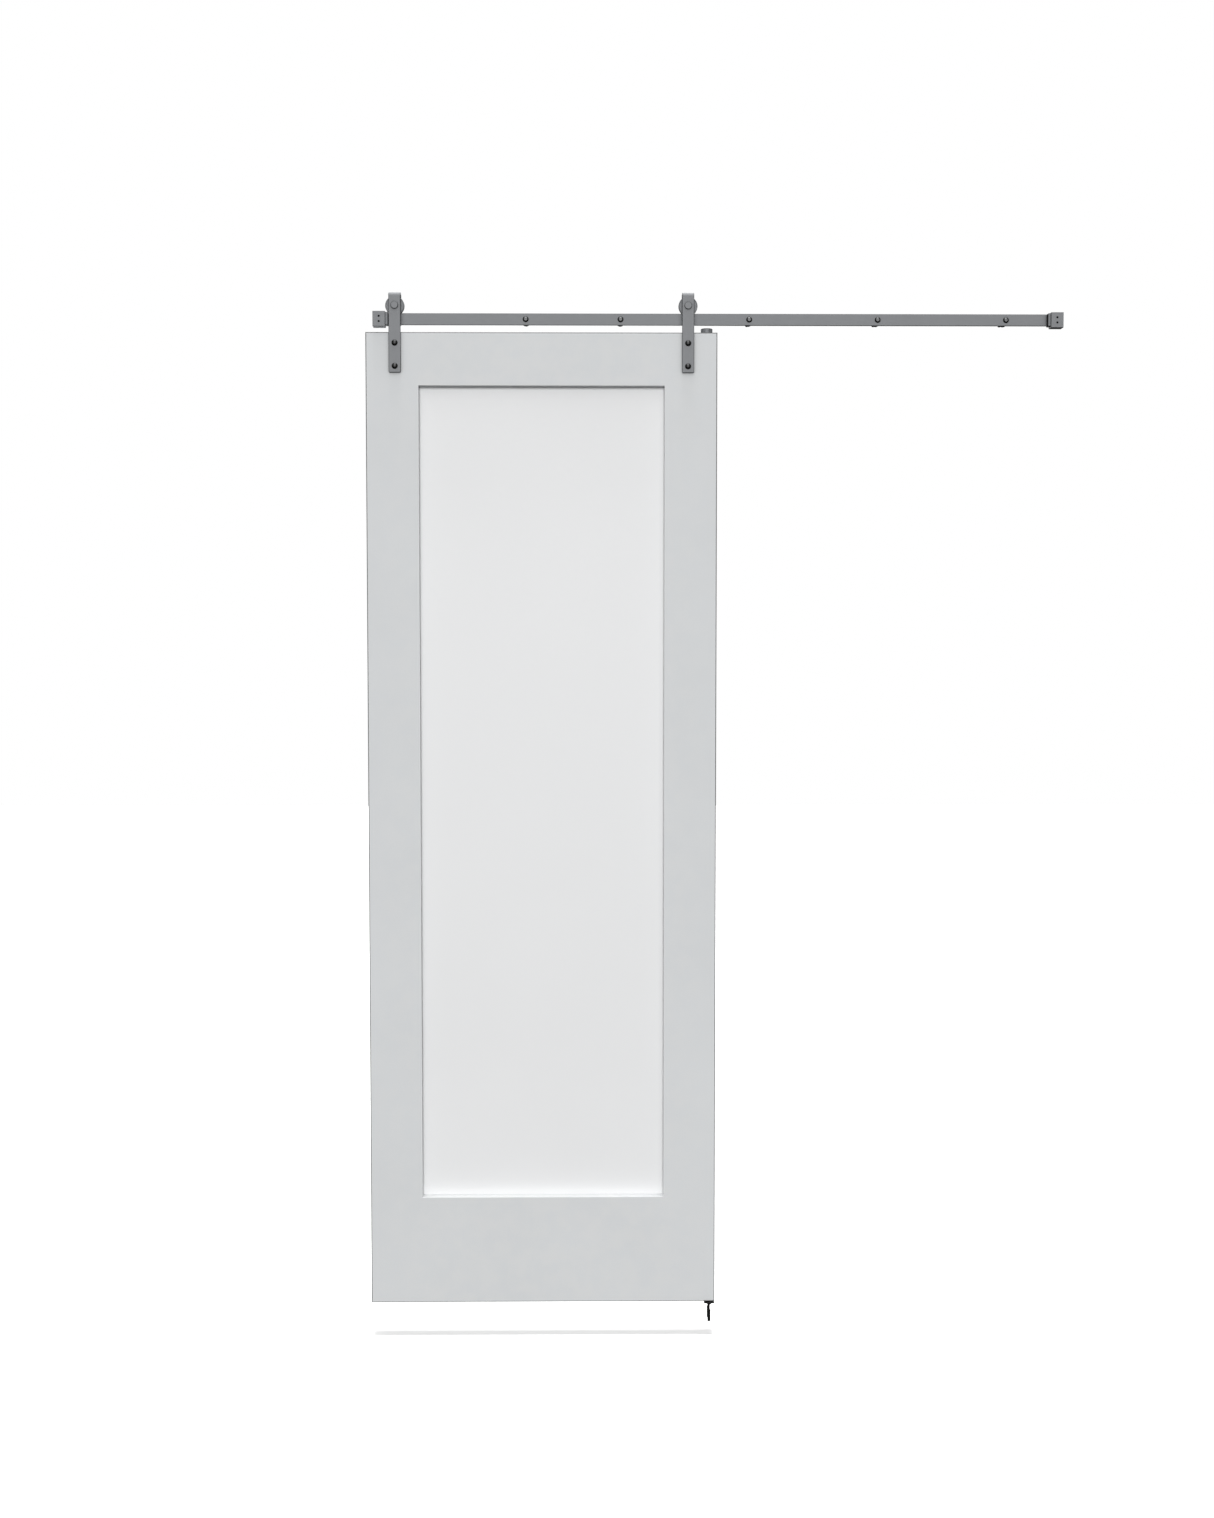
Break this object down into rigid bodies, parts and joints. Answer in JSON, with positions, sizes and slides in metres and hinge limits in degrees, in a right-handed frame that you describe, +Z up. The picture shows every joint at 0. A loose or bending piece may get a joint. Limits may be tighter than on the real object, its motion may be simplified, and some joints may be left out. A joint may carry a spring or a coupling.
{
  "type": "sliding barn door hardware set with glazed door leaf",
  "caption": "Sliding barn door set: flat wall rail, strap hangers with grooved wheels, end stops, floor guide and a white leaf with a frosted glass lite.",
  "frame": {"origin": "wall plane, on the axis of the fourth rail fixing from the left", "axes": "+X to the right along the rail, +Y into the wall, +Z up"},
  "size_m": [1.5116, 0.0891, 2.2653],
  "materials": {
    "satin_grey_steel": "satin",
    "black_steel": "gloss black",
    "black_powder_coat": "satin",
    "black_plastic": "moulded",
    "black_rubber": "matt",
    "painted_wood": "satin white paint",
    "dowel_wood": "raw beech",
    "frosted_glass": "frosted white",
    "bearing_steel": "ground",
    "cage_brass": "satin"
  },
  "bodies": {
    "track": {"rail": "satin_grey_steel", "rail_spacers": "black_steel", "rail_lag_screws": "satin_grey_steel", "left_stop_block": "satin_grey_steel", "right_stop_block": "satin_grey_steel", "left_stop_pad": "black_rubber", "right_stop_pad": "black_rubber", "left_set_screws": "black_steel", "right_set_screws": "black_steel", "floor_guide": "black_powder_coat", "floor_screws": "black_steel", "floor_anchors": "black_plastic"},
    "door": {"left_stile": "painted_wood", "right_stile": "painted_wood", "top_rail": "painted_wood", "bottom_rail": "painted_wood", "frame_dowels": "dowel_wood", "glass_pane": "frosted_glass", "glazing_tape": "black_rubber", "setting_blocks": "black_rubber", "left_bead": "painted_wood", "right_bead": "painted_wood", "top_bead": "painted_wood", "bottom_bead": "painted_wood", "left_strap": "satin_grey_steel", "right_strap": "satin_grey_steel", "left_axle_bolt": "satin_grey_steel", "right_axle_bolt": "satin_grey_steel", "left_axle_nut": "satin_grey_steel", "right_axle_nut": "satin_grey_steel", "left_axle_bushes": "bearing_steel", "right_axle_bushes": "bearing_steel", "left_inner_race": "bearing_steel", "right_inner_race": "bearing_steel", "left_strap_bolts": "black_steel", "right_strap_bolts": "black_steel", "left_sleeve_nuts": "bearing_steel", "right_sleeve_nuts": "bearing_steel", "anti_jump_disc": "satin_grey_steel", "anti_jump_screw": "black_steel"},
    "left_wheel_set": {"left_wheel": "satin_grey_steel", "left_outer_race": "bearing_steel", "left_shields": "bearing_steel"},
    "right_wheel_set": {"right_wheel": "satin_grey_steel", "right_outer_race": "bearing_steel", "right_shields": "bearing_steel"},
    "left_ball_set": {"left_balls": "bearing_steel", "left_ball_cage": "cage_brass"},
    "right_ball_set": {"right_balls": "bearing_steel", "right_ball_cage": "cage_brass"}
  },
  "joints": [
    {"name": "door_slide", "type": "slide", "parent": "track", "child": "door", "axis": [1, 0, 0], "range_m": [0, 0.7662]},
    {"name": "left_wheel_roll", "type": "hinge", "parent": "door", "child": "left_wheel_set", "pos_m": [-0.7674, -0.0335, 0.0284], "axis": [0, 1, 0], "continuous": true},
    {"name": "left_ball_orbit", "type": "hinge", "parent": "door", "child": "left_ball_set", "pos_m": [-0.7674, -0.0335, 0.0284], "axis": [0, 1, 0], "continuous": true},
    {"name": "right_wheel_roll", "type": "hinge", "parent": "door", "child": "right_wheel_set", "pos_m": [-0.1328, -0.0335, 0.0284], "axis": [0, 1, 0], "continuous": true},
    {"name": "right_ball_orbit", "type": "hinge", "parent": "door", "child": "right_ball_set", "pos_m": [-0.1328, -0.0335, 0.0284], "axis": [0, 1, 0], "continuous": true}
  ],
  "couplings": [
    {"joint": "left_wheel_roll", "follows": "door_slide", "rad_per_m": 63.291},
    {"joint": "left_ball_orbit", "follows": "door_slide", "rad_per_m": 40.084},
    {"joint": "right_wheel_roll", "follows": "door_slide", "rad_per_m": 63.291},
    {"joint": "right_ball_orbit", "follows": "door_slide", "rad_per_m": 40.084}
  ]
}
